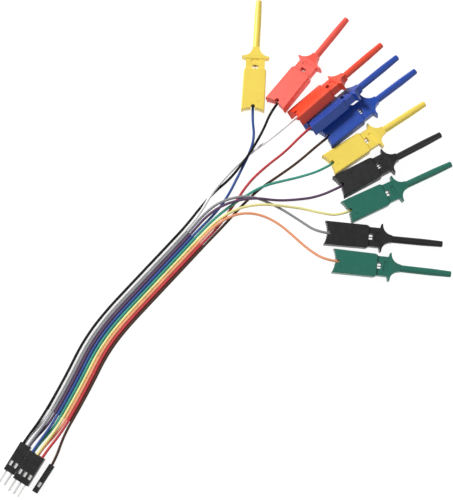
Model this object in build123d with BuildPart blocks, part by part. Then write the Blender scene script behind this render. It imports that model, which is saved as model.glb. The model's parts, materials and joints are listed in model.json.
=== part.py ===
"""Logic analyzer probe lead set.

Ten leads run together as a flat rainbow ribbon. One end is split into two two-row
pin housings and one single socket housing. The other end is ten spring test hooks:
a flat cap holds the wire and the hook, and a nozzle slides back into the cap
against a spring to bare the hook.

Millimetres, +Z up, the table at z = 0, the origin under the middle of the set.
"""

import math
import os

from build123d import *

os.makedirs("parts", exist_ok=True)

# ---------------------------------------------------------------- driving dimensions
# Lead wire and ribbon
WIRE_DIAMETER = 1.25
WIRE_GAP = 0.05  # between two neighbours in the ribbon
WIRE_LIFT = 0.025  # between a wire and the table
SPLIT_Z = 1.30  # height of an upper-row lead where the ribbon splits at the housings
BEND_SHARE = 0.45  # share of the shorter run that a bend takes up

# Test hook cap
CAP_LENGTH = 20.5
CAP_WIDTH = 11.0
CAP_TAPER = 0.4  # how much narrower the mouth is than the rear
CAP_THICKNESS = 5.2
CAP_WALL = 0.65
CAP_MOUTH_CHAMFER = 1.1
CAP_EDGE_RADIUS = 0.5
THUMB_REST_DEPTH = 1.3
THUMB_GROOVES = 4
THUMB_GROOVE_PITCH = 1.05
THUMB_GROOVE_START = 0.68
THUMB_GROOVE_RADIUS = 0.36
WIRE_SLOT_WIDTH = 2.0
WIRE_SLOT_DEPTH = 1.3
CAP_REAR_WALL_END = 5.0
GATE_AT = 4.2
GATE_RADIUS = 0.55
GATE_DEPTH = 0.15

# Nozzle
NECK_CLEARANCE = 0.15
NECK_INSIDE = 7.9
NECK_VISIBLE = 5.4
FLANGE_OVERHANG = 1.0
FLANGE_THICKNESS = 4.2
FLANGE_ROOT = 0.4  # the flange's rear face starts this far behind its tips' corner
FLANGE_RAKE = 0.5  # and leans forward by this much on its way out
FLANGE_TIP = 0.8
FLANGE_FLAT = 0.6
FLARE_LENGTH = 4.6
FLARE_HOLLOW = (0.30, 0.45)  # a point of the flare's curve, as shares of length and half span
SNOUT_LENGTH = 23.4
SNOUT_RADIUS = 1.66
SNOUT_TIP_RADIUS = 1.42
SNOUT_TIP_ROUND = 0.45
SNOUT_TAPER = 9.0  # length of the front part, which draws in to the tip
WINDOW_WIDTH = 2.7
WINDOW_LENGTH = 2.9
WINDOW_INSIDE = 1.0
NECK_PANEL_WIDTH = 4.4
NECK_PANEL_LENGTH = 1.5
NECK_PANEL_DEPTH = 0.3
NECK_PANEL_GAP = 0.9
NOZZLE_BORE_RADIUS = 0.60
NOZZLE_MOUTH_RADIUS = 0.90
NOZZLE_MOUTH_DEPTH = 5.0

# Spring and hook
SPRING_CLEARANCE = 0.30
SPRING_WIRE = 0.35
HOOK_WIRE_RADIUS = 0.20
HOOK_WIRE_OFFSET = 0.21
HOOK_CURL = 0.45
HOOK_INSET = 0.7
HOOK_SOCKET = 0.5  # how deep the hook's wires sit in the collar
HOOK_TIP_THICKNESS = 0.32
COLLAR_WALL = 0.305
COLLAR_START = 3.7
COLLAR_LENGTH = 3.0
COLLAR_CLEARANCE = 0.03
SOLDER_JOINT = 5.4  # where the wire's end meets the hook inside its collar

# Pin and socket housings
CONTACT_PITCH = 2.54
HOUSING_LENGTH = 14.0
CAVITY_CLEARANCE = 0.15
PIN_WALL = 1.6
PIN_CLEARANCE = 0.36
LATCH_WINDOW_WIDTH = 1.55
LATCH_WINDOW_LENGTH = 2.4
LATCH_WINDOW_FROM_FRONT = 4.0
HOUSING_EDGE = 0.2
CONTACT_BODY = 1.5
CONTACT_END_GAP = 0.2
CRIMP_WALL = 0.255
CRIMP_CLEARANCE = 0.02
CRIMP_START = 1.8
WIRE_STOP = 4.2
PIN_WIDTH = 0.64
PIN_REACH = 6.0
SOCKET_BORE = 0.70
SOCKET_START = 7.0

# Wire that leads straight out of a housing and out of a test hook
REAR_STRAIGHT = 2.4
HOOK_STRAIGHT = 3.0

# ------------------------------------------------------------------------- placement
# Each test hook: x and y of its rear end, heading and lean in degrees. The lean
# lifts the right-hand edge of a cap that leans on its neighbour.
CLIP_PLACES = [
    (10.3, 61.2, 86.6, 0.0),
    (20.9, 63.6, 51.2, 17.0),
    (29.9, 56.7, 41.2, 50.0),
    (36.2, 51.7, 39.6, 55.0),
    (43.8, 47.4, 37.6, 11.0),
    (45.5, 34.8, 33.5, 5.0),
    (49.8, 24.4, 27.8, 9.0),
    (53.3, 12.7, 25.2, 0.0),
    (43.1, 3.3, -5.5, 0.0),
    (46.7, -9.8, -6.5, 0.0),
]

# Housings: x and y of the first one's rear foot beside its first column, the headings,
# and how far each next one stands to the side of, and ahead of, the one before it.
PLACE_2X2 = Vector(-93.9, -92.0, 0)
HOUSING_HEADING = -121.0
SINGLE_HEADING = -122.5
GAP_2X3, STAGGER_2X3 = 0.48, 1.09
GAP_SINGLE, STAGGER_SINGLE = 2.79, 0.63

# The middle line of the bonded ribbon, from the housings to the hooks.
RIBBON_LINE = [
    (-80.5, -85.6),
    (-74.4, -74.8),
    (-68.3, -63.2),
    (-62.1, -50.2),
    (-53.9, -38.4),
    (-38.5, -21.6),
    (-23.9, -5.8),
    (-15.9, 3.0),
]

# Each lead beyond the ribbon: its colour, the lane it has in the ribbon, its test
# hook and the points of its own route, ending before the hook.
LEADS = {
    "black": (0, 2, [(-14.1, 15.6, 0.7), (-7.7, 23.0, 0.7), (-0.3, 29.2, 0.9),
                     (5.5, 36.0, 3.7), (10.5, 43.3, 4.0), (15.3, 52.3, 2.2)]),
    "white": (1, 3, [(-13.3, 14.0, 1.6), (-9.3, 21.2, 2.5), (-5.1, 26.8, 1.6),
                     (1.3, 34.2, 0.65), (10.7, 42.8, 0.65), (19.7, 49.0, 1.5)]),
    "grey": (2, 9, [(-12.9, 12.0, 0.8), (-6.1, 17.4, 2.6), (1.9, 19.9, 3.9),
                    (8.6, 20.6, 3.1), (15.9, 18.9, 0.9), (23.7, 15.0, 0.65),
                    (31.9, 9.6, 0.9)]),
    "purple": (3, 7, [(-11.7, 10.9, 1.8), (-4.6, 15.9, 3.3), (3.7, 18.6, 4.0),
                      (12.1, 19.6, 3.9), (21.5, 18.8, 1.4), (30.5, 19.4, 0.65),
                      (39.1, 20.4, 1.2)]),
    "blue": (4, 1, [(-6.6, 13.4, 0.65), (-1.1, 21.4, 0.65), (3.5, 30.4, 1.5),
                    (8.1, 39.5, 2.6), (11.3, 48.8, 1.4)]),
    "green": (5, 6, [(-7.7, 10.3, 0.8), (-0.5, 15.8, 2.15), (7.0, 21.0, 2.0),
                     (14.7, 25.5, 2.15), (23.6, 28.2, 0.75), (32.7, 30.2, 1.2)]),
    "yellow": (6, 8, [(-7.0, 8.8, 1.1), (-0.3, 13.2, 2.45), (7.1, 16.0, 2.7),
                      (15.5, 16.8, 2.9), (24.5, 16.2, 2.0), (33.7, 15.2, 0.65),
                      (42.0, 13.0, 1.2)]),
    "orange": (7, 10, [(-7.2, 6.9, 2.0), (-0.1, 11.4, 2.2), (7.3, 13.2, 1.4),
                       (15.1, 12.0, 0.65), (22.6, 7.9, 0.65), (29.2, 2.0, 0.9),
                       (35.9, -4.3, 1.6)]),
    "red": (8, 4, [(-5.5, 6.6, 0.65), (1.7, 17.4, 0.65), (8.6, 27.9, 0.65),
                   (16.9, 35.6, 0.9), (25.5, 41.6, 3.6)]),
    "brown": (9, 5, [(-3.9, 6.4, 0.65), (4.3, 15.6, 0.65), (13.1, 24.4, 0.65),
                     (22.3, 30.7, 0.65), (31.7, 37.3, 1.2)]),
}

# The housing, column and row that each lead plugs into, with row 1 above row 0.
SEATS = {
    "black": ("2x2", 0, 1),
    "white": ("2x2", 0, 0),
    "grey": ("2x2", 1, 1),
    "purple": ("2x2", 1, 0),
    "blue": ("2x3", 0, 1),
    "green": ("2x3", 0, 0),
    "yellow": ("2x3", 1, 1),
    "orange": ("2x3", 1, 0),
    "red": ("2x3", 2, 1),
    "brown": ("single", 0, 0),
}


# ---------------------------------------------------------- sizes that follow others
RIBBON_PITCH = WIRE_DIAMETER + WIRE_GAP
TABLE_Z = WIRE_DIAMETER / 2 + WIRE_LIFT  # a wire's middle where it lies on the table
CAP_WIDTH_MOUTH = CAP_WIDTH - CAP_TAPER
CAVITY_WIDTH = CAP_WIDTH_MOUTH - 2 * CAP_WALL
CAVITY_HEIGHT = CAP_THICKNESS - 2 * CAP_WALL
NECK_THICKNESS = CAVITY_HEIGHT - 2 * NECK_CLEARANCE
NECK_WIDTH = CAVITY_WIDTH - 2 * NECK_CLEARANCE
NECK_REAR = CAP_LENGTH - NECK_INSIDE
FLANGE_AT = CAP_LENGTH + NECK_VISIBLE
FLANGE_SPAN = CAP_WIDTH + 2 * FLANGE_OVERHANG
SNOUT_AT = FLANGE_AT + FLANGE_TIP + FLARE_LENGTH
CLIP_LENGTH = SNOUT_AT + SNOUT_LENGTH
SPRING_OUTER_RADIUS = CAVITY_HEIGHT / 2 - SPRING_CLEARANCE
SPRING_LENGTH = NECK_REAR - CAP_REAR_WALL_END
HOOK_TIP = CLIP_LENGTH - HOOK_INSET
WIRE_SEAT_RADIUS = WIRE_DIAMETER / 2 + CRIMP_CLEARANCE
COLLAR_RADIUS = WIRE_SEAT_RADIUS + COLLAR_WALL
CRIMP_OUTER_RADIUS = WIRE_SEAT_RADIUS + CRIMP_WALL
HOUSING_CAVITY = 2 * CRIMP_OUTER_RADIUS + CAVITY_CLEARANCE
CAVITY_DEPTH = HOUSING_LENGTH - PIN_WALL
CONTACT_BODY_END = CAVITY_DEPTH - CONTACT_END_GAP
PIN_HOLE = PIN_WIDTH + PIN_CLEARANCE
LATCH_WINDOW_AT = HOUSING_LENGTH - LATCH_WINDOW_FROM_FRONT


def save(piece, name):
    """Label a finished piece and write it as parts/name.step."""
    piece.label = name
    export_step(piece, f"parts/{name}.step")


def across(frame, distance):
    """A plane square to a frame's length, with its x across and its y up."""
    origin = frame.from_local_coords(Vector(distance, 0, 0))
    return Plane(origin, x_dir=-frame.y_dir, z_dir=frame.x_dir)


# ------------------------------------------------------------------------ test hooks
def clip_frame(place):
    """A test hook's own plane: +X to the tip, +Z out of the broad face."""
    x, y, heading, lean = place
    turn, tilt = math.radians(heading), math.radians(lean)
    forward = Vector(math.cos(turn), math.sin(turn), 0)
    left = Vector(-math.sin(turn), math.cos(turn), 0)
    normal = left * math.sin(tilt) + Vector(0, 0, math.cos(tilt))
    drops = [
        width / 2 * math.sin(tilt) + thickness / 2 * math.cos(tilt)
        for width, thickness in ((CAP_WIDTH, CAP_THICKNESS), (FLANGE_SPAN, FLANGE_THICKNESS))
    ]
    return Plane((x, y, max(drops)), x_dir=forward, z_dir=normal)


def make_cap(frame):
    """The flat rear body: hollow at the mouth, with a thumb rest and a wire slot."""
    half_rear, half_mouth = CAP_WIDTH / 2, CAP_WIDTH_MOUTH / 2
    shoulder = CAP_LENGTH - CAP_MOUTH_CHAMFER
    with BuildPart() as cap:
        with BuildSketch(frame):
            with BuildLine():
                Polyline(
                    (0, half_rear),
                    (shoulder, half_mouth),
                    (CAP_LENGTH, half_mouth - CAP_MOUTH_CHAMFER / 2),
                    (CAP_LENGTH, -half_mouth + CAP_MOUTH_CHAMFER / 2),
                    (shoulder, -half_mouth),
                    (0, -half_rear),
                )
                ThreePointArc((0, -half_rear), (THUMB_REST_DEPTH, 0), (0, half_rear))
            make_face()
        extrude(amount=CAP_THICKNESS / 2, both=True)
        rims = cap.faces().sort_by(Axis((0, 0, 0), tuple(frame.z_dir)))
        rim_edges = (rims[0].edges() + rims[-1].edges()).filter_by(GeomType.LINE)
        fillet(rim_edges, CAP_EDGE_RADIUS)
        # the slot that the wire leaves by, and the grooves of the thumb rest
        with BuildSketch(frame):
            with Locations((THUMB_REST_DEPTH, 0)):
                SlotOverall(2 * WIRE_SLOT_DEPTH + WIRE_SLOT_WIDTH / 2, WIRE_SLOT_WIDTH)
            for i in range(THUMB_GROOVES):
                groove_y = WIRE_SLOT_WIDTH / 2 + THUMB_GROOVE_START + i * THUMB_GROOVE_PITCH
                groove_x = THUMB_REST_DEPTH * (1 - (groove_y / half_rear) ** 2)
                with Locations((groove_x, groove_y), (groove_x, -groove_y)):
                    Circle(THUMB_GROOVE_RADIUS)
        extrude(amount=CAP_THICKNESS, both=True, mode=Mode.SUBTRACT)
        # the cavity for the nozzle and the spring
        with BuildSketch(across(frame, CAP_REAR_WALL_END)):
            Rectangle(CAVITY_WIDTH, CAVITY_HEIGHT)
        extrude(amount=CAP_LENGTH - CAP_REAR_WALL_END, mode=Mode.SUBTRACT)
        # the bore that holds the hook's collar
        with BuildSketch(across(frame, 0)):
            Circle(COLLAR_RADIUS + COLLAR_CLEARANCE)
        extrude(amount=CAP_REAR_WALL_END, mode=Mode.SUBTRACT)
        with BuildSketch(frame.offset(CAP_THICKNESS / 2 - GATE_DEPTH)):
            with Locations((GATE_AT, -half_mouth / 2)):
                Circle(GATE_RADIUS)
        extrude(amount=GATE_DEPTH * 2, mode=Mode.SUBTRACT)
    return cap.part


def make_nozzle(frame):
    """The sliding nozzle: a neck inside the cap, a finger flange and a long snout."""
    half_neck, half_flange = NECK_WIDTH / 2, FLANGE_SPAN / 2
    root = FLANGE_AT - FLANGE_ROOT
    tip_end = FLANGE_AT + FLANGE_TIP
    hollow_x = tip_end + FLARE_HOLLOW[0] * FLARE_LENGTH
    hollow_y = FLARE_HOLLOW[1] * half_flange
    with BuildPart() as nozzle:
        # finger flange and flare, cut to the thickness of the side profile
        with BuildSketch(frame):
            with BuildLine():
                for side in (1, -1):
                    Polyline(
                        (root, 0),
                        (root, side * half_neck),
                        (root + FLANGE_RAKE, side * half_flange),
                        (tip_end, side * half_flange),
                    )
                    ThreePointArc(
                        (tip_end, side * half_flange),
                        (hollow_x, side * hollow_y),
                        (SNOUT_AT, side * SNOUT_RADIUS),
                    )
                Line((SNOUT_AT, SNOUT_RADIUS), (SNOUT_AT, -SNOUT_RADIUS))
            make_face()
        extrude(amount=FLANGE_THICKNESS / 2, both=True)
        side_plane = Plane(frame.origin, x_dir=frame.x_dir, z_dir=-frame.y_dir)
        with BuildSketch(side_plane):
            with BuildLine():
                for side in (1, -1):
                    Polyline(
                        (root, 0),
                        (root, side * FLANGE_THICKNESS / 2),
                        (tip_end + FLANGE_FLAT, side * FLANGE_THICKNESS / 2),
                        (SNOUT_AT, side * SNOUT_RADIUS),
                    )
                Line((SNOUT_AT, SNOUT_RADIUS), (SNOUT_AT, -SNOUT_RADIUS))
            make_face()
        extrude(amount=FLANGE_SPAN, both=True, mode=Mode.INTERSECT)
        # the neck that slides in the cap
        with BuildSketch(across(frame, NECK_REAR)):
            Rectangle(NECK_WIDTH, NECK_THICKNESS)
        extrude(amount=FLANGE_AT - NECK_REAR)
        # the snout
        with BuildSketch(across(frame, SNOUT_AT - FLARE_LENGTH / 2)):
            Circle(SNOUT_RADIUS)
        extrude(amount=SNOUT_LENGTH + FLARE_LENGTH / 2 - SNOUT_TAPER)
        with BuildSketch(across(frame, CLIP_LENGTH - SNOUT_TAPER)):
            Circle(SNOUT_RADIUS)
        with BuildSketch(across(frame, CLIP_LENGTH)):
            Circle(SNOUT_TIP_RADIUS)
        loft()
        tip_face = nozzle.faces().sort_by(Axis((0, 0, 0), tuple(frame.x_dir)))[-1]
        fillet(tip_face.edges(), SNOUT_TIP_ROUND)
        # see-through window at the cap's mouth and the shallow panel before the flange
        window_mid = CAP_LENGTH - WINDOW_INSIDE + WINDOW_LENGTH / 2
        with BuildSketch(frame):
            with Locations((window_mid, 0)):
                Rectangle(WINDOW_LENGTH, WINDOW_WIDTH)
        extrude(amount=NECK_THICKNESS, both=True, mode=Mode.SUBTRACT)
        panel_mid = FLANGE_AT - NECK_PANEL_GAP - NECK_PANEL_LENGTH / 2
        for side in (1, -1):
            with BuildSketch(frame.offset(side * (NECK_THICKNESS / 2 - NECK_PANEL_DEPTH))):
                with Locations((panel_mid, 0)):
                    Rectangle(NECK_PANEL_LENGTH, NECK_PANEL_WIDTH)
            extrude(amount=side * NECK_PANEL_DEPTH * 2, mode=Mode.SUBTRACT)
        # the bore for the hook, wider at the tip
        with BuildSketch(across(frame, NECK_REAR)):
            Circle(NOZZLE_BORE_RADIUS)
        extrude(amount=CLIP_LENGTH - NECK_REAR, mode=Mode.SUBTRACT)
        with BuildSketch(across(frame, CLIP_LENGTH - NOZZLE_MOUTH_DEPTH)):
            Circle(NOZZLE_MOUTH_RADIUS)
        extrude(amount=NOZZLE_MOUTH_DEPTH, mode=Mode.SUBTRACT)
    return nozzle.part


def make_spring(frame):
    """The return spring, held here as the sleeve that its coils fill."""
    with BuildPart() as spring:
        with BuildSketch(across(frame, CAP_REAR_WALL_END)):
            Circle(SPRING_OUTER_RADIUS)
            Circle(SPRING_OUTER_RADIUS - SPRING_WIRE, mode=Mode.SUBTRACT)
        extrude(amount=SPRING_LENGTH)
    return spring.part


def make_hook(frame):
    """The contact: two spring wires with curled tips, soldered into a collar."""
    with BuildPart() as hook:
        with BuildSketch(across(frame, COLLAR_START)):
            Circle(COLLAR_RADIUS)
        extrude(amount=COLLAR_LENGTH)
        with BuildSketch(across(frame, COLLAR_START)):
            Circle(WIRE_SEAT_RADIUS)
        extrude(amount=SOLDER_JOINT - COLLAR_START, mode=Mode.SUBTRACT)
        for side in (1, -1):
            level = frame.offset(side * HOOK_WIRE_OFFSET)
            root = COLLAR_START + COLLAR_LENGTH - HOOK_SOCKET
            with BuildSketch(across(level, root)):
                Circle(HOOK_WIRE_RADIUS)
            extrude(amount=HOOK_TIP - root)
            with BuildSketch(level):
                with Locations((HOOK_TIP - HOOK_WIRE_RADIUS, side * HOOK_CURL / 2)):
                    Rectangle(2 * HOOK_WIRE_RADIUS, HOOK_CURL)
            extrude(amount=HOOK_TIP_THICKNESS / 2, both=True)
    return hook.part


# -------------------------------------------------------------------------- housings
def housing_frame(place, heading):
    """A housing's plane: origin at a rear foot, +X to the pins, +Y across the columns."""
    turn = math.radians(heading)
    forward = Vector(math.cos(turn), math.sin(turn), 0)
    return Plane(place, x_dir=forward, z_dir=(0, 0, 1))


def seat_point(frame, column, row, distance):
    """A place on a contact's axis, measured forward from the housing's rear."""
    across_mm = (column + 0.5) * CONTACT_PITCH
    up_mm = (row + 0.5) * CONTACT_PITCH
    return frame.from_local_coords(Vector(distance, across_mm, up_mm))


def contact_plane(frame, column, row, distance):
    """A plane square to a contact's axis at a distance from the housing's rear."""
    origin = seat_point(frame, column, row, distance)
    return Plane(origin, x_dir=frame.y_dir, z_dir=frame.x_dir)


def make_housing(frame, columns, rows):
    """A crimp housing block with a square cavity for each contact."""
    width, height = columns * CONTACT_PITCH, rows * CONTACT_PITCH
    seats = [(c, r) for c in range(columns) for r in range(rows)]
    with BuildPart() as housing:
        with BuildSketch(frame):
            with Locations((HOUSING_LENGTH / 2, width / 2)):
                Rectangle(HOUSING_LENGTH, width)
        extrude(amount=height)
        chamfer(housing.faces().sort_by(Axis.Z)[-1].edges(), HOUSING_EDGE)
        for column, row in seats:
            with BuildSketch(contact_plane(frame, column, row, 0)):
                Rectangle(HOUSING_CAVITY, HOUSING_CAVITY)
            extrude(amount=CAVITY_DEPTH, mode=Mode.SUBTRACT)
            with BuildSketch(contact_plane(frame, column, row, CAVITY_DEPTH)):
                Rectangle(PIN_HOLE, PIN_HOLE)
            extrude(amount=HOUSING_LENGTH - CAVITY_DEPTH, mode=Mode.SUBTRACT)
        # latch windows through the top skin
        for column in range(columns):
            with BuildSketch(frame.offset(height)):
                with Locations((LATCH_WINDOW_AT, (column + 0.5) * CONTACT_PITCH)):
                    Rectangle(LATCH_WINDOW_LENGTH, LATCH_WINDOW_WIDTH)
            extrude(amount=-CONTACT_PITCH / 2, mode=Mode.SUBTRACT)
    return housing.part


def make_contacts(frame, seats, male):
    """Crimp contacts: a wire barrel, a box body, and a square pin or a socket."""
    with BuildPart() as contacts:
        for column, row in seats:
            with BuildSketch(contact_plane(frame, column, row, CRIMP_START)):
                Circle(CRIMP_OUTER_RADIUS)
                Circle(WIRE_SEAT_RADIUS, mode=Mode.SUBTRACT)
            extrude(amount=WIRE_STOP - CRIMP_START)
            with BuildSketch(contact_plane(frame, column, row, WIRE_STOP)):
                Rectangle(CONTACT_BODY, CONTACT_BODY)
            extrude(amount=CONTACT_BODY_END - WIRE_STOP)
            if male:
                with BuildSketch(contact_plane(frame, column, row, CONTACT_BODY_END)):
                    Rectangle(PIN_WIDTH, PIN_WIDTH)
                extrude(amount=HOUSING_LENGTH + PIN_REACH - CONTACT_BODY_END)
            else:
                with BuildSketch(contact_plane(frame, column, row, SOCKET_START)):
                    Rectangle(SOCKET_BORE, SOCKET_BORE)
                extrude(amount=CONTACT_BODY_END - SOCKET_START, mode=Mode.SUBTRACT)
    return contacts.part


# ----------------------------------------------------------------------------- leads
def lane_points(lane, first_z):
    """A lead's points in the ribbon, set off sideways from the ribbon's line."""
    offset = ((len(LEADS) - 1) / 2 - lane) * RIBBON_PITCH
    line = [Vector(x, y, 0) for x, y in RIBBON_LINE]
    points = []
    for i, point in enumerate(line):
        before = (point - line[i - 1]).normalized() if i else None
        after = (line[i + 1] - point).normalized() if i + 1 < len(line) else before
        before = before or after
        along = (before + after).normalized()
        stretch = offset / math.cos(math.radians(before.get_angle(after)) / 2)
        left = Vector(-along.Y, along.X, 0) * stretch
        points.append(point + left + Vector(0, 0, TABLE_Z if i else first_z))
    return points


def make_lead(name, points):
    """A wire as straight runs joined by arcs as large as the runs allow."""
    radii = []
    for before, point, after in zip(points, points[1:], points[2:]):
        turn = math.radians((point - before).get_angle(after - point))
        shorter = min((point - before).length, (after - point).length)
        radii.append(BEND_SHARE * shorter / math.tan(turn / 2))
    with BuildPart() as lead:
        with BuildLine() as path:
            FilletPolyline(*points, radius=radii)
        with BuildSketch(Plane(origin=path.line @ 0, z_dir=path.line % 0)):
            Circle(WIRE_DIAMETER / 2)
        sweep()
    length = sum(edge.length for edge in path.edges())
    straight = math.pi * (WIRE_DIAMETER / 2) ** 2 * length
    print(
        f"{name}: length {length:.1f} volume ratio {lead.part.volume / straight:.4f}"
        f" least radius {min(radii):.1f}"
    )
    print("   radii " + " ".join(f"{radius:.0f}" for radius in radii))
    return lead.part


# ---------------------------------------------------------------------- build pieces
first = housing_frame(PLACE_2X2, HOUSING_HEADING)
second_foot = Vector(STAGGER_2X3, 2 * CONTACT_PITCH + GAP_2X3, 0)
single_foot = second_foot + Vector(STAGGER_SINGLE, 3 * CONTACT_PITCH + GAP_SINGLE, 0)
housing_frames = {
    "2x2": first,
    "2x3": housing_frame(first.from_local_coords(second_foot), HOUSING_HEADING),
    "single": housing_frame(first.from_local_coords(single_foot), SINGLE_HEADING),
}
clip_frames = [clip_frame(place) for place in CLIP_PLACES]

for number, frame in enumerate(clip_frames, 1):
    save(make_cap(frame), f"cap_{number:02d}")
    save(make_nozzle(frame), f"nozzle_{number:02d}")
    save(make_spring(frame), f"spring_{number:02d}")
    save(make_hook(frame), f"hook_{number:02d}")

save(make_housing(housing_frames["2x2"], 2, 2), "housing_2x2")
save(make_housing(housing_frames["2x3"], 3, 2), "housing_2x3")
save(make_housing(housing_frames["single"], 1, 1), "housing_single")
for housing, male in (("2x2", True), ("2x3", True), ("single", False)):
    seats = [(c, r) for where, c, r in SEATS.values() if where == housing]
    kind = "pin" if male else "socket"
    save(make_contacts(housing_frames[housing], seats, male), f"{kind}_contacts_{housing}")

for colour, (lane, hook_number, route) in LEADS.items():
    where, column, row = SEATS[colour]
    housing = housing_frames[where]
    clip = clip_frames[hook_number - 1]
    points = [
        seat_point(housing, column, row, WIRE_STOP),
        seat_point(housing, column, row, -REAR_STRAIGHT),
        *lane_points(lane, SPLIT_Z if row else TABLE_Z),
        *(Vector(*point) for point in route),
        clip.from_local_coords(Vector(-HOOK_STRAIGHT, 0, 0)),
        clip.from_local_coords(Vector(SOLDER_JOINT, 0, 0)),
    ]
    save(make_lead(colour, points), f"lead_{lane + 1:02d}_{colour}")
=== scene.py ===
import json
import math

import bmesh
import bpy
from mathutils import Matrix, Vector


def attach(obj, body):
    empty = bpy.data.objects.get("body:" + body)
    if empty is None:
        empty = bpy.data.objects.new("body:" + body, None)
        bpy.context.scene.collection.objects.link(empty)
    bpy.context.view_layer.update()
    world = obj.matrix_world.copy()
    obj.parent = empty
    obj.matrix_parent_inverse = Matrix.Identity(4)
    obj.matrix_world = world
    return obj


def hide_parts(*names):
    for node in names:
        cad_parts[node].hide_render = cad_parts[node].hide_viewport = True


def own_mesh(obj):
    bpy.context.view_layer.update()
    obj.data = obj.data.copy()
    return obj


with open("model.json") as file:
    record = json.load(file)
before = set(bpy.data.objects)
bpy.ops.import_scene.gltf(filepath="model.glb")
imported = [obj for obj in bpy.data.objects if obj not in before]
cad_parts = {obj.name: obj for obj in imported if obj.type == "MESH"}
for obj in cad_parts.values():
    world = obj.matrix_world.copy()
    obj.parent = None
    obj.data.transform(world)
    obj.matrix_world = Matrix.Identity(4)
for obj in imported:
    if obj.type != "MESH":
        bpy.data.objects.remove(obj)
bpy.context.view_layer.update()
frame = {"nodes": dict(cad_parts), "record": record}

# ------------------------------------------------------------------------- camera
# A long lens on a copy stand, ten degrees off the plumb line on the side of the
# housings, so that the set shows nearly in plan with a little of its near sides.
MM = 0.001
CAMERA_TARGET = Vector((-1.9, -4.2, 0.0)) * MM
CAMERA_DISTANCE = 600.0 * MM
CAMERA_ELEVATION = math.radians(80.0)
CAMERA_LENS = 93.46
CAMERA_NEAR = 10.0 * MM

scene = bpy.context.scene
camera = bpy.data.objects.new("camera", bpy.data.cameras.new("camera"))
scene.collection.objects.link(camera)
scene.camera = camera
camera.data.lens = CAMERA_LENS
camera.data.clip_start = CAMERA_NEAR
towards_camera = Vector((0.0, -math.cos(CAMERA_ELEVATION), math.sin(CAMERA_ELEVATION)))
camera.location = CAMERA_TARGET + CAMERA_DISTANCE * towards_camera
camera.rotation_euler = (math.pi / 2 - CAMERA_ELEVATION, 0.0, 0.0)

# -------------------------------------------------------------------------- leads
# Ten stranded copper wires in soft PVC, 1.25 mm over the insulation, extruded side by
# side as a rainbow ribbon and pulled apart by hand at both ends. Each one runs from a
# crimp contact in a housing to the solder joint in the back of its test hook.
WIRE_DIAMETER = 1.25
WIRE_ROUNDNESS = 5  # how finely the curve's section is divided
RIBBON_PITCH = 1.40
TABLE_Z = 0.65  # a lead's middle where it lies on the table
SPLIT_Z = 1.30  # and where it drops from the upper row of a housing
CONTACT_PITCH = 2.54
PIN_END = 20.0  # from a housing's rear to the ends of its pins
SOCKET_END = 14.0  # and to the mouth of the single socket
WIRE_STOP = 4.2  # how far a lead goes into its housing
REAR_STRAIGHT = 2.4
CLIP_LENGTH = 54.7
HOOK_STRAIGHT = 3.0
SOLDER_JOINT = 5.4  # how far a lead goes into its test hook
CURVE_STEPS = 12
CURVE_ORDER = 3

RIBBON_LINE = [
    (-80.5, -85.6),
    (-74.4, -74.8),
    (-68.3, -63.2),
    (-62.1, -50.2),
    (-53.9, -38.4),
    (-38.5, -21.6),
    (-23.9, -5.8),
    (-15.9, 3.0),
]

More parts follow.
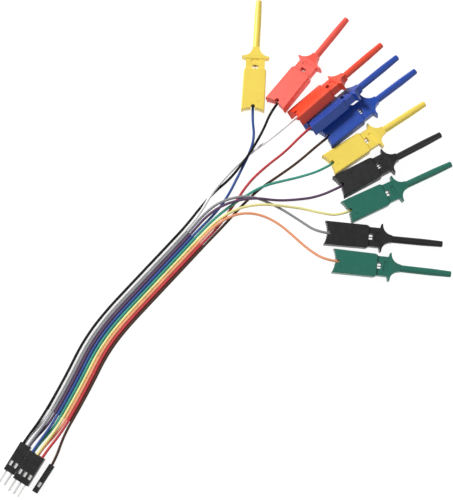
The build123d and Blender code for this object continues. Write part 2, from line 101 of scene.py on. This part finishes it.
# Each lead: its colour, test hook, seat (mount, column, row) and the points of its
# own route beyond the ribbon. The leads stand in the order of the ribbon's lanes.
LEADS = {
    "black": ("060607", 2, ("pins_2x2", 0, 1), [
        (-14.1, 15.6, 0.7), (-7.7, 23.0, 0.7), (-0.3, 29.2, 0.9),
        (5.5, 36.0, 3.7), (10.5, 43.3, 4.0), (15.3, 52.3, 2.2)]),
    "white": ("F1F1F0", 3, ("pins_2x2", 0, 0), [
        (-13.3, 14.0, 1.6), (-9.3, 21.2, 2.5), (-5.1, 26.8, 1.6),
        (1.3, 34.2, 0.65), (10.7, 42.8, 0.65), (19.7, 49.0, 1.5)]),
    "grey": ("97979B", 9, ("pins_2x2", 1, 1), [
        (-12.9, 12.0, 0.8), (-6.1, 17.4, 2.6), (1.9, 19.9, 3.9),
        (8.6, 20.6, 3.1), (15.9, 18.9, 0.9), (23.7, 15.0, 0.65),
        (31.9, 9.6, 0.9)]),
    "purple": ("624A68", 7, ("pins_2x2", 1, 0), [
        (-11.7, 10.9, 1.8), (-4.6, 15.9, 3.3), (3.7, 18.6, 4.0),
        (12.1, 19.6, 3.9), (21.5, 18.8, 1.4), (30.5, 19.4, 0.65),
        (39.1, 20.4, 1.2)]),
    "blue": ("38589C", 1, ("pins_2x3", 0, 1), [
        (-6.6, 13.4, 0.65), (-1.1, 21.4, 0.65), (3.5, 30.4, 1.5),
        (8.1, 39.5, 2.6), (11.3, 48.8, 1.4)]),
    "green": ("48A18D", 6, ("pins_2x3", 0, 0), [
        (-7.7, 10.3, 0.8), (-0.5, 15.8, 2.15), (7.0, 21.0, 2.0),
        (14.7, 25.5, 2.15), (23.6, 28.2, 0.75), (32.7, 30.2, 1.2)]),
    "yellow": ("F8ECA0", 8, ("pins_2x3", 1, 1), [
        (-7.0, 8.8, 1.1), (-0.3, 13.2, 2.45), (7.1, 16.0, 2.7),
        (15.5, 16.8, 2.9), (24.5, 16.2, 2.0), (33.7, 15.2, 0.65),
        (42.0, 13.0, 1.2)]),
    "orange": ("FAA97F", 10, ("pins_2x3", 1, 0), [
        (-7.2, 6.9, 2.0), (-0.1, 11.4, 2.2), (7.3, 13.2, 1.4),
        (15.1, 12.0, 0.65), (22.6, 7.9, 0.65), (29.2, 2.0, 0.9),
        (35.9, -4.3, 1.6)]),
    "red": ("C8434A", 4, ("pins_2x3", 2, 1), [
        (-5.5, 6.6, 0.65), (1.7, 17.4, 0.65), (8.6, 27.9, 0.65),
        (16.9, 35.6, 0.9), (25.5, 41.6, 3.6)]),
    "brown": ("4A3024", 5, ("socket_single", 0, 0), [
        (-3.9, 6.4, 0.65), (4.3, 15.6, 0.65), (13.1, 24.4, 0.65),
        (22.3, 30.7, 0.65), (31.7, 37.3, 1.2)]),
}
SEAT_COLUMNS = {"pins_2x2": 2, "pins_2x3": 3, "socket_single": 1}
SEAT_ROWS = {"pins_2x2": 2, "pins_2x3": 2, "socket_single": 1}

# The sockets of a colour Mix node, which shares its socket names between data types
MIX_SHARE = 0
MIX_FIRST = 6
MIX_SECOND = 7
MIX_RESULT = 2

mounts = {mount["name"]: mount for mount in frame["record"]["mounts"]}


def linear(hex_colour):
    """An sRGB hex colour as the linear RGBA that shaders take."""
    values = [int(hex_colour[i:i + 2], 16) / 255 for i in (0, 2, 4)]
    return [v / 12.92 if v <= 0.04045 else ((v + 0.055) / 1.055) ** 2.4
            for v in values] + [1.0]


def add_node(tree, kind, settings=None, links=None):
    """Adds one node, sets its properties and input values, and links its inputs."""
    made = tree.nodes.new(kind)
    for key, value in (settings or {}).items():
        if isinstance(key, str) and hasattr(made, key):
            setattr(made, key, value)
        else:
            made.inputs[key].default_value = value
    for key, source in (links or {}).items():
        tree.links.new(source, made.inputs[key])
    return made


def new_material(name):
    """An empty node material and its tree."""
    material = bpy.data.materials.new(name)
    material.use_nodes = True
    material.node_tree.nodes.clear()
    return material, material.node_tree


def noise(tree, size_mm, detail, distortion=0.0):
    """A cloudy pattern from 0 to 1, with features about size_mm across."""
    place = add_node(tree, "ShaderNodeTexCoord").outputs["Object"]
    pattern = add_node(tree, "ShaderNodeTexNoise", {
        "Scale": 1 / (size_mm * MM),
        "Detail": detail,
        "Distortion": distortion,
    }, {"Vector": place})
    return pattern.outputs["Fac"]


def two_tone(tree, share, colour, dark, light, lift=0.0):
    """A colour that drifts with the share, from dark times itself to light times itself."""
    base = linear(colour)[:3]
    mixed = add_node(tree, "ShaderNodeMix", {
        "data_type": "RGBA",
        MIX_FIRST: [dark * v for v in base] + [1.0],
        MIX_SECOND: [min(1.0, light * v + lift) for v in base] + [1.0],
    }, {MIX_SHARE: share})
    return mixed.outputs[MIX_RESULT]


def spread(tree, share, low, high, start=0.0, end=1.0):
    """A value that goes from low to high while the share goes from start to end."""
    mapped = add_node(tree, "ShaderNodeMapRange", {
        "From Min": start, "From Max": end, "To Min": low, "To Max": high}, {"Value": share})
    return mapped.outputs["Result"]


def finish_surface(tree, settings, colour, roughness, height, strength, depth_mm):
    """Brings colour, roughness and a bump of the given depth together as the surface."""
    bump = add_node(tree, "ShaderNodeBump", {
        "Strength": strength, "Distance": depth_mm * MM}, {"Height": height})
    shader = add_node(tree, "ShaderNodeBsdfPrincipled", settings, {
        "Base Color": colour,
        "Roughness": roughness,
        "Normal": bump.outputs["Normal"],
    })
    add_node(tree, "ShaderNodeOutputMaterial", links={"Surface": shader.outputs[0]})


def pvc_insulation(name, colour):
    """Soft PVC as it leaves the extruder: satin over a faint orange peel, a little
    cloudy in colour, and duller in patches where it was handled."""
    material, tree = new_material(name)
    clouds = noise(tree, size_mm=6.0, detail=3.0)
    orange_peel = noise(tree, size_mm=0.4, detail=2.0)
    finish_surface(
        tree,
        {"IOR": 1.53, "Specular IOR Level": 0.15},
        colour=two_tone(tree, clouds, colour, dark=0.80, light=1.12, lift=0.004),
        roughness=spread(tree, clouds, low=0.40, high=0.55),
        height=orange_peel, strength=0.12, depth_mm=0.03,
    )
    return material


def lane_points(lane, first_z):
    """A lead's points in the ribbon, set off sideways from the ribbon's line."""
    offset = ((len(LEADS) - 1) / 2 - lane) * RIBBON_PITCH
    line = [Vector((x, y, 0.0)) for x, y in RIBBON_LINE]
    points = []
    for i, point in enumerate(line):
        before = (point - line[i - 1]).normalized() if i else (line[1] - point).normalized()
        after = (line[i + 1] - point).normalized() if i + 1 < len(line) else before
        along = (before + after).normalized()
        left = Vector((-along.y, along.x, 0.0)) * offset / math.cos(before.angle(after) / 2)
        points.append(point + left + Vector((0.0, 0.0, TABLE_Z if i else first_z)))
    return points


def seat_point(seat, distance):
    """A place on a contact's axis, measured forward from its housing's rear."""
    mount, column, row = seat
    forward = Vector(mounts[mount]["axis"])
    side = Vector((-forward.y, forward.x, 0.0))
    end = SOCKET_END if mount == "socket_single" else PIN_END
    sideways = (column + 0.5 - SEAT_COLUMNS[mount] / 2) * CONTACT_PITCH
    upwards = (row + 0.5 - SEAT_ROWS[mount] / 2) * CONTACT_PITCH
    middle = Vector(mounts[mount]["pos_m"]) / MM
    return middle + forward * (distance - end) + side * sideways + Vector((0.0, 0.0, upwards))


def hook_point(number, distance):
    """A place on a test hook's axis, measured forward from its rear."""
    tip = mounts[f"hook_tip_{number:02d}"]
    return Vector(tip["pos_m"]) / MM + Vector(tip["axis"]) * (distance - CLIP_LENGTH)


def smooth_line(name, points):
    """A NURBS curve with the given millimetre points as its control points."""
    curve = bpy.data.curves.new(name, "CURVE")
    curve.dimensions = "3D"
    curve.resolution_u = CURVE_STEPS
    spline = curve.splines.new("NURBS")
    spline.points.add(len(points) - 1)
    for target, point in zip(spline.points, points):
        target.co = (*(Vector(point) * MM), 1.0)
    spline.order_u = CURVE_ORDER
    spline.use_endpoint_u = True
    made = bpy.data.objects.new(name, curve)
    scene.collection.objects.link(made)
    return made


insulation = {}
for lane, (colour, (shade, hook_number, seat, route)) in enumerate(LEADS.items()):
    first_z = SPLIT_Z if seat[2] else TABLE_Z
    lead = smooth_line(f"insulation_{lane + 1:02d}_{colour}", [
        seat_point(seat, WIRE_STOP),
        seat_point(seat, -REAR_STRAIGHT),
        *lane_points(lane, first_z),
        *route,
        hook_point(hook_number, -HOOK_STRAIGHT),
        hook_point(hook_number, SOLDER_JOINT),
    ])
    lead.data.bevel_depth = WIRE_DIAMETER / 2 * MM
    lead.data.bevel_resolution = WIRE_ROUNDNESS
    lead.data.use_fill_caps = True
    insulation[colour] = pvc_insulation(f"pvc_insulation_{colour}", shade)
    lead.data.materials.append(insulation[colour])
    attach(lead, "root")
    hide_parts(f"lead_{lane + 1:02d}_{colour}")

# ------------------------------------------------------------------- ribbon webs
# The thin bond between two neighbouring leads, left where their insulation ran
# together in the extruder. It tears cleanly, so it ends where the leads part.
WEB_WIDTH = 0.50
WEB_THICKNESS = 0.36
WEB_REACH_HOUSINGS = 0.5  # share of the ribbon's first span that the webs go into
WEB_REACH_HOOKS = 0.85  # and of its last span
# Each web takes the PVC of one of its two leads, mostly the darker one, as painted shade in the
# groove between the wires; between black and white it is white.
WEB_COLOURS_WITH_PAINTED_SHADE = ("white", "grey", "purple", "purple", "blue", "green", "orange", "red", "brown")


def sweep_tree(name, sizes, shapes):
    """A tree that sweeps a profile along a curve, with its own inputs for the sizes and
    the material. shapes(tree, given) adds the curve and the profile."""
    tree = bpy.data.node_groups.new(name, "GeometryNodeTree")
    side = tree.interface
    side.new_socket("Geometry", in_out="INPUT", socket_type="NodeSocketGeometry")
    for size in sizes:
        side.new_socket(size, in_out="INPUT", socket_type="NodeSocketFloat")
    side.new_socket("Material", in_out="INPUT", socket_type="NodeSocketMaterial")
    side.new_socket("Geometry", in_out="OUTPUT", socket_type="NodeSocketGeometry")
    given = add_node(tree, "NodeGroupInput").outputs
    curve, profile = shapes(tree, given)
    swept = add_node(tree, "GeometryNodeCurveToMesh", {"Fill Caps": True}, {
        "Curve": curve, "Profile Curve": profile})
    real = add_node(tree, "GeometryNodeRealizeInstances", links={"Geometry": swept.outputs[0]})
    painted = add_node(tree, "GeometryNodeSetMaterial", links={
        "Geometry": real.outputs[0], "Material": given["Material"]})
    add_node(tree, "NodeGroupOutput", links={"Geometry": painted.outputs[0]})
    return tree


def strip_shapes(tree, given):
    """The given curve, and a flat section of Width by Thickness."""
    profile = add_node(tree, "GeometryNodeCurvePrimitiveQuadrilateral", links={
        "Width": given["Width"], "Height": given["Thickness"]})
    return given["Geometry"], profile.outputs[0]


def grow(source, tree, values):
    """Runs a node tree on an object with the named inputs and returns a plain mesh object."""
    modifier = source.modifiers.new("grow", "NODES")
    modifier.node_group = tree
    for item in tree.interface.items_tree:
        if item.in_out == "INPUT" and item.name in values:
            modifier[item.identifier] = values[item.name]
    bpy.context.view_layer.update()
    evaluated = source.evaluated_get(bpy.context.evaluated_depsgraph_get())
    mesh = bpy.data.meshes.new_from_object(evaluated)
    name = source.name
    source.modifiers.clear()
    bpy.data.objects.remove(source)
    made = bpy.data.objects.new(name, mesh)
    mesh.name = name
    scene.collection.objects.link(made)
    return made


web_strip = sweep_tree("web_strip", ("Width", "Thickness"), strip_shapes)
for lane in range(len(LEADS) - 1):
    upper, lower = lane_points(lane, TABLE_Z), lane_points(lane + 1, TABLE_Z)
    middle = [(a + b) / 2 for a, b in zip(upper, lower)]
    middle[0] = middle[1].lerp(middle[0], WEB_REACH_HOUSINGS)
    middle[-1] = middle[-2].lerp(middle[-1], WEB_REACH_HOOKS)
    line = smooth_line(f"ribbon_web_{lane + 1}", middle)
    web = grow(line, web_strip, {
        "Width": WEB_WIDTH * MM,
        "Thickness": WEB_THICKNESS * MM,
        "Material": insulation[WEB_COLOURS_WITH_PAINTED_SHADE[lane]],
    })
    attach(web, "root")

# -------------------------------------------------------------------- housings
# Black nylon crimp housings, moulded in a polished tool: two rows by two, two rows by
# three, and one single place. Every place has a square cavity and a latch window.


def moulded_nylon(name, colour, grain_mm, dull, glossy):
    """Nylon from a mould: the tool's grain as a fine bump, satin with patches that
    handling has rubbed glossier, and a colour that drifts a little with the melt's flow."""
    material, tree = new_material(name)
    flow = noise(tree, size_mm=7.0, detail=4.0, distortion=0.6)
    grain = noise(tree, size_mm=grain_mm, detail=3.0)
    rubbed = noise(tree, size_mm=2.5, detail=5.0)
    finish_surface(
        tree,
        {"IOR": 1.53},
        colour=two_tone(tree, flow, colour, dark=0.90, light=1.08, lift=0.002),
        roughness=spread(tree, rubbed, low=glossy, high=dull, start=0.3, end=0.7),
        height=grain, strength=0.25, depth_mm=0.02,
    )
    return material


nodes = frame["nodes"]
housing_nylon = moulded_nylon("moulded_nylon_black", "19181A",
                              grain_mm=0.22, dull=0.50, glossy=0.36)
for name in ("housing_2x2", "housing_2x3", "housing_single"):
    nodes[name].material_slots[0].material = housing_nylon

# -------------------------------------------------------------------- contacts
# Crimp contacts stamped from thin phosphor bronze and plated with matt tin, which
# looks nearly white. The pins are square, and the bodies are folded boxes.
CONTACT_NODES = ("pin_contacts_2x2", "pin_contacts_2x3", "socket_contacts_single")


def plated_metal(name, colour, metallic, low, high, grain_mm):
    """A plate over pressed or drawn metal: a fine grain breaks up its highlights, and
    colour and shine are uneven where the plate is thinner."""
    material, tree = new_material(name)
    grain = noise(tree, size_mm=grain_mm, detail=2.0)
    patches = noise(tree, size_mm=1.5, detail=3.0)
    finish_surface(
        tree,
        {"Metallic": metallic},
        colour=two_tone(tree, patches, colour, dark=0.82, light=1.0),
        roughness=spread(tree, patches, low=low, high=high),
        height=grain, strength=0.2, depth_mm=0.01,
    )
    return material


matt_tin = plated_metal("matt_tin_plate", "F4F4F2", metallic=0.4,
                        low=0.42, high=0.62, grain_mm=0.12)
for name in CONTACT_NODES:
    nodes[name].material_slots[0].material = matt_tin

# ------------------------------------------------------------- test hook bodies
# The cap and the sliding nozzle of each test hook, moulded in one colour of nylon.
# The spark-eroded tool gives both a fine satin grain, rubbed glossier in patches.
HOOK_COLOURS = {
    "yellow": ("FADC5C", (1, 6)),
    "salmon": ("F25646", (2,)),
    "red": ("EE4A2A", (3,)),
    "blue": ("1C48A9", (4, 5)),
    "black": ("1F1E20", (7, 9)),
    "green": ("226F5E", (8, 10)),
}
for colour, (shade, numbers) in HOOK_COLOURS.items():
    plastic = moulded_nylon(f"moulded_nylon_{colour}", shade,
                            grain_mm=0.30, dull=0.46, glossy=0.33)
    for number in numbers:
        nodes[f"cap_{number:02d}"].material_slots[0].material = plastic
        nodes[f"nozzle_{number:02d}"].material_slots[0].material = plastic

# ----------------------------------------------------------------- return springs
# A coil of 0.35 mm spring wire between the cap's rear wall and the nozzle's neck. The real spring
# closes as the nozzle slides back; this one is a fixed coil at its free length, its rear end on
# the wall.
HOOK_NUMBERS = range(1, len(LEADS) + 1)
SPRING_REAR = 5.0
SPRING_FREE = 7.6
SPRING_OUTER_RADIUS = 1.65
SPRING_WIRE = 0.35
SPRING_TURNS = 7.0
SPRING_STEPS = 28  # points in each turn
SPRING_WIRE_SIDES = 10


def wire_section(tree, given, sides):
    """A round section of the given Wire Radius."""
    return add_node(tree, "GeometryNodeCurvePrimitiveCircle", {"Resolution": sides}, {
        "Radius": given["Wire Radius"]}).outputs[0]


def coil_shapes(tree, given):
    """A coil along +Z, and the section of its wire."""
    coil = add_node(tree, "GeometryNodeCurveSpiral", {"Resolution": SPRING_STEPS}, {
        "Rotations": given["Turns"],
        "Start Radius": given["Radius"],
        "End Radius": given["Radius"],
        "Height": given["Height"],
    })
    return coil.outputs[0], wire_section(tree, given, SPRING_WIRE_SIDES)


def hook_axes(number, lean=0.0):
    """A test hook's own frame as a matrix: +X to the tip, +Z out of the broad face."""
    forward = Vector(mounts[f"hook_tip_{number:02d}"]["axis"])
    left = Vector((-forward.y, forward.x, 0.0))
    up = left * math.sin(math.radians(lean)) + Vector((0.0, 0.0, math.cos(math.radians(lean))))
    turned = Matrix((forward, up.cross(forward), up)).transposed().to_4x4()
    return Matrix.Translation(hook_point(number, 0.0) * MM) @ turned


wire_coil = sweep_tree(
    "wire_coil", ("Turns", "Radius", "Height", "Wire Radius"), coil_shapes)
spring_wire = plated_metal("drawn_spring_steel", "C6C8CC", metallic=1.0,
                           low=0.34, high=0.48, grain_mm=0.10)
for number in HOOK_NUMBERS:
    blank = bpy.data.objects.new(f"return_spring_{number:02d}", bpy.data.meshes.new("blank"))
    scene.collection.objects.link(blank)
    spring = grow(blank, wire_coil, {
        "Turns": SPRING_TURNS,
        "Radius": (SPRING_OUTER_RADIUS - SPRING_WIRE / 2) * MM,
        "Height": (SPRING_FREE - SPRING_WIRE) * MM,
        "Wire Radius": SPRING_WIRE / 2 * MM,
        "Material": spring_wire,
    })
    seat_on_wall = Matrix.Translation(((SPRING_REAR + SPRING_WIRE / 2) * MM, 0.0, 0.0))
    spring.data.transform(hook_axes(number) @ seat_on_wall @ Matrix.Rotation(math.pi / 2, 4, "Y"))
    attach(spring, "root")
    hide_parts(f"spring_{number:02d}")
    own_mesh(spring)

# ------------------------------------------------------------------ contact hooks
# Two spring wires, one above the other, soldered into a turned collar. Their tips curl
# over to opposite sides, and show only when the nozzle is drawn back.
LEANS = {2: 17.0, 3: 50.0, 4: 55.0, 5: 11.0, 6: 5.0, 7: 9.0}  # degrees, where not flat
HOOK_TIP = 54.0
HOOK_REAR = 6.2
HOOK_WIRE_RADIUS = 0.20
HOOK_WIRE_SIDES = 14
HOOK_APART = 0.21  # from the hook's axis to the middle of each wire
# The curl: how far each point is behind the tip, and how far out to the wire's own side
HOOK_CURL = [
    (3.0, 0.0),
    (1.1, 0.0),
    (0.45, -0.10),
    (0.15, 0.0),
    (0.20, 0.40),
    (0.55, 0.52),
    (0.95, 0.50),
]
COLLAR_RADIUS = 0.95
COLLAR_ENDS = (3.7, 6.7)
COLLAR_CHAMFER = 0.12
COLLAR_SIDES = 32
WIRE_SEAT = 0.645  # radius of the bore for the lead
WELD_DISTANCE = 1e-7  # metres, for points that the turning leaves twice


def hook_wire_shapes(tree, given):
    """The given curve, and the section of the wire."""
    return given["Geometry"], wire_section(tree, given, HOOK_WIRE_SIDES)


def lathe_collar(mesh_name):
    """The turned collar: a sleeve with a blind bore for the lead, closed at the front."""
    start, end = COLLAR_ENDS
    outline = [
        (SOLDER_JOINT, 0.0),
        (SOLDER_JOINT, WIRE_SEAT),
        (start + COLLAR_CHAMFER, WIRE_SEAT),
        (start, WIRE_SEAT + COLLAR_CHAMFER),
        (start, COLLAR_RADIUS - COLLAR_CHAMFER),
        (start + COLLAR_CHAMFER, COLLAR_RADIUS),
        (end - COLLAR_CHAMFER, COLLAR_RADIUS),
        (end, COLLAR_RADIUS - COLLAR_CHAMFER),
        (end, 0.0),
    ]
    work = bmesh.new()
    verts = [work.verts.new((x * MM, r * MM, 0.0)) for x, r in outline]
    edges = [work.edges.new(pair) for pair in zip(verts, verts[1:])]
    bmesh.ops.spin(work, geom=verts + edges, axis=(1, 0, 0), cent=(0, 0, 0),
                   angle=2 * math.pi, steps=COLLAR_SIDES, use_merge=True)
    bmesh.ops.remove_doubles(work, verts=work.verts, dist=WELD_DISTANCE)
    bmesh.ops.recalc_face_normals(work, faces=work.faces)
    mesh = bpy.data.meshes.new(mesh_name)
    work.to_mesh(mesh)
    work.free()
    return mesh


def join(pieces, name):
    """One mesh object from several, with all their faces in place."""
    work = bmesh.new()
    for piece in pieces:
        work.from_mesh(piece.data)
    mesh = bpy.data.meshes.new(name)
    work.to_mesh(mesh)
    work.free()
    mesh.materials.append(pieces[0].data.materials[0])
    for piece in pieces:
        bpy.data.objects.remove(piece)
    made = bpy.data.objects.new(name, mesh)
    scene.collection.objects.link(made)
    return made


round_wire = sweep_tree("round_wire", ("Wire Radius",), hook_wire_shapes)
for number in HOOK_NUMBERS:
    parts = []
    for side in (1, -1):
        level = side * HOOK_APART
        path = smooth_line(f"hook_wire_{number:02d}_{side}", [
            (HOOK_REAR, 0.0, level),
            *((HOOK_TIP - behind, side * out, level) for behind, out in HOOK_CURL),
        ])
        parts.append(grow(path, round_wire, {
            "Wire Radius": HOOK_WIRE_RADIUS * MM, "Material": spring_wire}))
    collar = bpy.data.objects.new("collar", lathe_collar("collar"))
    scene.collection.objects.link(collar)
    hook = join(parts + [collar], f"contact_hook_{number:02d}")
    hook.data.transform(hook_axes(number, LEANS.get(number, 0.0)))
    hook.data.shade_smooth()
    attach(hook, "root")
    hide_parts(f"hook_{number:02d}")

# ------------------------------------------------------------------ floor and light
# A matt board that is itself lit to an even white, so that shadows hardly show. A small
# soft box gives the highlights, a wide one fills them, and a tent lights all round.
FLOOR_SIZE = 4.0
FLOOR_DROP = 0.02 * MM  # keeps the board's face clear of what rests on it
BOARD_GLOW = 0.92
TENT_LIGHT = 0.22

board, tree = new_material("matt_white_board")
shader = add_node(tree, "ShaderNodeBsdfPrincipled", {
    "Base Color": linear("808080"),
    "Roughness": 0.9,
    "Emission Color": linear("FFFFFF"),
    "Emission Strength": BOARD_GLOW,
})
add_node(tree, "ShaderNodeOutputMaterial", links={"Surface": shader.outputs[0]})
floor_mesh = bpy.data.meshes.new("floor")
half = FLOOR_SIZE / 2
floor_mesh.from_pydata([(-half, -half, 0), (half, -half, 0), (half, half, 0), (-half, half, 0)],
                       [], [(0, 1, 2, 3)])
floor = bpy.data.objects.new("floor", floor_mesh)
floor.location.z = -FLOOR_DROP
scene.collection.objects.link(floor)
floor.data.materials.append(board)


def soft_box(name, place, size, watts):
    """A square soft box that looks at the middle of the set."""
    lamp = bpy.data.lights.new(name, "AREA")
    lamp.shape = "SQUARE"
    lamp.size = size
    lamp.energy = watts
    made = bpy.data.objects.new(name, lamp)
    made.location = place
    made.rotation_euler = (-Vector(place)).to_track_quat("-Z", "Y").to_euler()
    scene.collection.objects.link(made)


soft_box("key_box", place=(-0.65, 0.50, 0.68), size=0.35, watts=11.3)
soft_box("fill_box", place=(0.7, -0.3, 0.8), size=0.9, watts=2.5)

world = bpy.data.worlds.new("daylight_tent")
scene.world = world
world.use_nodes = True
background = world.node_tree.nodes["Background"]
background.inputs["Color"].default_value = linear("FFFFFF")
background.inputs["Strength"].default_value = TENT_LIGHT
scene.view_settings.view_transform = "Standard"
